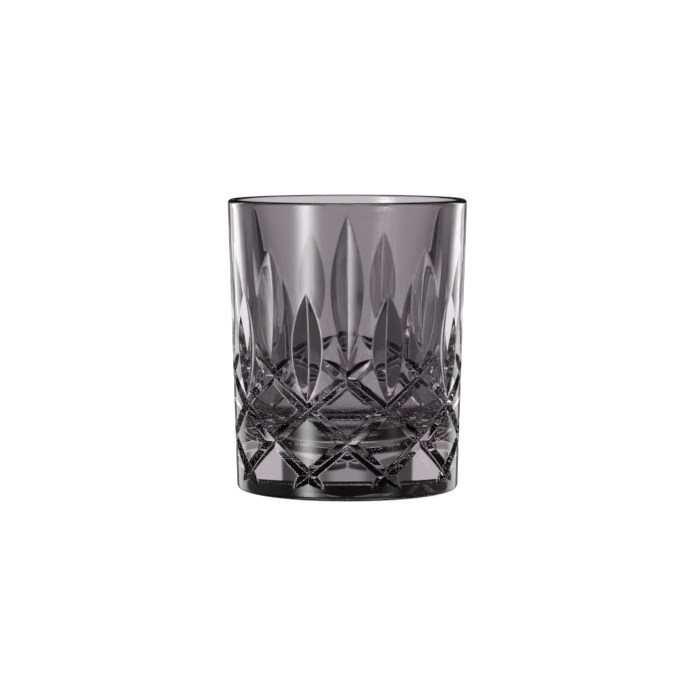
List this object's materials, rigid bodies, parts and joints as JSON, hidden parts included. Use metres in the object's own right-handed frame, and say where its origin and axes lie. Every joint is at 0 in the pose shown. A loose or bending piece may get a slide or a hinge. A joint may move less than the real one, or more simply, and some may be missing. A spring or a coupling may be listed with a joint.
{
  "type": "whisky tumbler",
  "caption": "Straight-sided, slightly flared whisky tumbler in one piece of smoke-grey pressed glass, with a thick base, pointed leaf cuts and a lattice of crossing mitre cuts",
  "frame": {"origin": "middle of the foot, on the surface that the glass stands on", "axes": "+Z is the glass's axis, from foot to lip; a tall leaf of the pattern faces -Y, the front; X is across"},
  "size_m": [0.0808, 0.0808, 0.098],
  "materials": {
    "tumbler": "polished smoke-grey glass"
  },
  "bodies": {
    "root": {"tumbler": "tumbler"}
  },
  "joints": []
}
